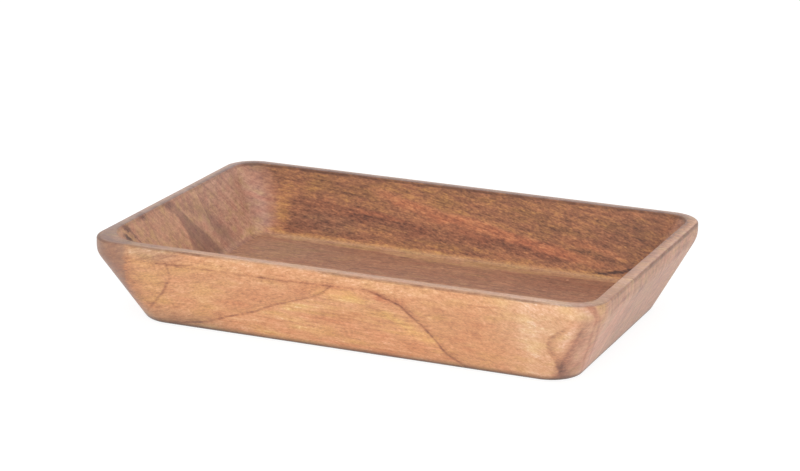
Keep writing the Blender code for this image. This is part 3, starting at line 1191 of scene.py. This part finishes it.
def finish_wood(wood, contrast, seams):
    """Streaks, pores, end grain, worn edges, the rim's painted sheen, painted shade at the foot and
    gloss, which all the boards share.
    """
    mottle = wood.clouds("mottle")
    pore = wood.dashes("pore")
    wedge, wedge_grey = left_wedge(wood)
    draw_left_wall(wood, wedge)
    draw_right_end(wood)
    draw_floor(wood)
    for amount, (tone, hue) in wood.marks(PATCHES):
        wood.add(amount, tone, hue)
    draw_grain(wood, mottle, contrast)
    wood.colour = tinted(by_tone(wood.tone), wood.hue)
    wood.stain(PORE_BROWN, pore * (1 - wood.end_grain * 0.6) * 0.17)
    wood.wash(END_TINT, wood.end_grain)
    wood.wash(WALL_TINT, wood.faces["left_wall"][2] * ease(wood.y, *REAR_HALF))
    wood.stain(WEDGE_GREY, wedge_grey * 0.4)
    for face, tint in FACE_TINTS.items():
        if face in wood.faces:
            wood.wash(tint, wood.faces[face][2])
    for amount, (tint,) in wood.marks(WASHES):
        wood.wash(tint, amount)
    outer_left = ease(wood.rough[0] - wood.z * OUTER_LEFT_LEAN, *OUTER_LEFT) * wood.outside
    wood.stain(CORNER_GREY, outer_left * ease(wood.y, *OUTER_LEFT_ACROSS) * 0.55)
    draw_edges(wood, seams)
    bump = add_node(wood.tree, "ShaderNodeBump")
    feed(bump.inputs["Strength"], BUMP_STRENGTH)
    feed(bump.inputs["Distance"], BUMP_HEIGHT)
    feed(bump.inputs["Height"], wood.grain * 0.5 - pore + mottle * 0.3)
    shader = wood.tree.nodes["Principled BSDF"].inputs
    feed(shader["Base Color"], wood.colour)
    feed(shader["Roughness"], wood.grain * 0.08 + pore * 0.15 + ROUGHNESS)
    feed(shader["Normal"], Field(bump.outputs["Normal"]))
    return wood.material


# Studio

def add_camera():
    """The photograph's view: an orbit place, a small roll and a long lens."""
    data = bpy.data.cameras.new("camera")
    data.lens = CAMERA_LENS
    data.sensor_width = SENSOR_WIDTH
    camera = bpy.data.objects.new("camera", data)
    turn = Matrix.Rotation(CAMERA_AZIMUTH, 4, "Z")
    tilt = Matrix.Rotation(math.pi / 2 - CAMERA_ELEVATION, 4, "X")
    roll = Matrix.Rotation(CAMERA_ROLL, 4, "Z")
    camera.matrix_world = Matrix.Translation(CAMERA_PLACE) @ turn @ tilt @ roll
    bpy.context.scene.collection.objects.link(camera)
    bpy.context.scene.camera = camera


def add_softbox(name, place, size, watts):
    """A square soft light that faces the tray."""
    data = bpy.data.lights.new(name, "AREA")
    data.size = size
    data.energy = watts
    light = bpy.data.objects.new(name, data)
    light.location = place
    aim = Vector((0.0, 0.0, HEIGHT / 2)) - Vector(place)
    light.rotation_euler = aim.to_track_quat("-Z", "Y").to_euler()
    bpy.context.scene.collection.objects.link(light)


def empty_tree(owner):
    """The node tree of a world or a material, with nothing in it."""
    owner.use_nodes = True
    owner.node_tree.nodes.clear()
    return owner.node_tree


def ray_is_seen(tree):
    """One where a camera, mirror or glass ray looks, nought where light is gathered."""
    path = add_node(tree, "ShaderNodeLightPath")
    camera = Field(path.outputs["Is Camera Ray"])
    glossy = Field(path.outputs["Is Glossy Ray"])
    clear = Field(path.outputs["Is Transmission Ray"])
    return maths("MAXIMUM", maths("MAXIMUM", camera, glossy), clear)


def set_world():
    """White where it is seen, and a plain soft light from all round."""
    world = bpy.data.worlds.new("studio")
    tree = empty_tree(world)
    light = fed(tree, "ShaderNodeBackground", WHITE, WORLD_LIGHT)
    seen = fed(tree, "ShaderNodeBackground", WHITE, 1.0)
    surface = fed(tree, "ShaderNodeMixShader", ray_is_seen(tree), light, seen)
    feed(add_node(tree, "ShaderNodeOutputWorld").inputs["Surface"], surface)
    bpy.context.scene.world = world


def floor_material():
    """White floor that keeps part of the tray's shadow where it is seen."""
    material = bpy.data.materials.new("studio_floor")
    tree = empty_tree(material)
    paint = fed(tree, "ShaderNodeBsdfDiffuse", linear(FLOOR_COLOUR))
    glow = fed(tree, "ShaderNodeEmission", WHITE, FLOOR_GLOW)
    surface = fed(tree, "ShaderNodeMixShader", ray_is_seen(tree) * FLOOR_GLOW_SHARE, paint, glow)
    feed(add_node(tree, "ShaderNodeOutputMaterial").inputs["Surface"], surface)
    return material


def add_floor():
    """A round white floor, far wider than the view."""
    shape = bmesh.new()
    bmesh.ops.create_circle(shape, cap_ends=True, segments=FLOOR_SEGMENTS, radius=FLOOR_RADIUS)
    mesh = bpy.data.meshes.new("studio_floor")
    shape.to_mesh(mesh)
    shape.free()
    mesh.materials.append(floor_material())
    floor = bpy.data.objects.new("studio_floor", mesh)
    floor.location.z = -FLOOR_DROP
    bpy.context.scene.collection.objects.link(floor)


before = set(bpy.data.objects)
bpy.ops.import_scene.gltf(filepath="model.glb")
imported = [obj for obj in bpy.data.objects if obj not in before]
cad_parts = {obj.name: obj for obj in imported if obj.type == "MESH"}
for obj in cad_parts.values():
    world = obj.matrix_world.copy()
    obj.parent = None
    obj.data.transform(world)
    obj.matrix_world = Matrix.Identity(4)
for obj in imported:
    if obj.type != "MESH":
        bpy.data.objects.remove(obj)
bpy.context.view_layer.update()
bpy.context.scene.view_settings.view_transform = "Standard"

front_seam = (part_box("front_board")[1].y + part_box("middle_board")[0].y) / 2
rear_seam = (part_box("middle_board")[1].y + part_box("rear_board")[0].y) / 2
half_glue = GLUE_LINE / 2
seams = (front_seam / MM, rear_seam / MM)
add_board("front_board", None, front_seam - half_glue, front_wood(seams))
add_board("middle_board", front_seam + half_glue, rear_seam - half_glue, middle_wood(seams))
add_board("rear_board", rear_seam + half_glue, None, rear_wood(seams))

add_camera()
set_world()
add_floor()
for softbox in SOFTBOXES:
    add_softbox(*softbox)
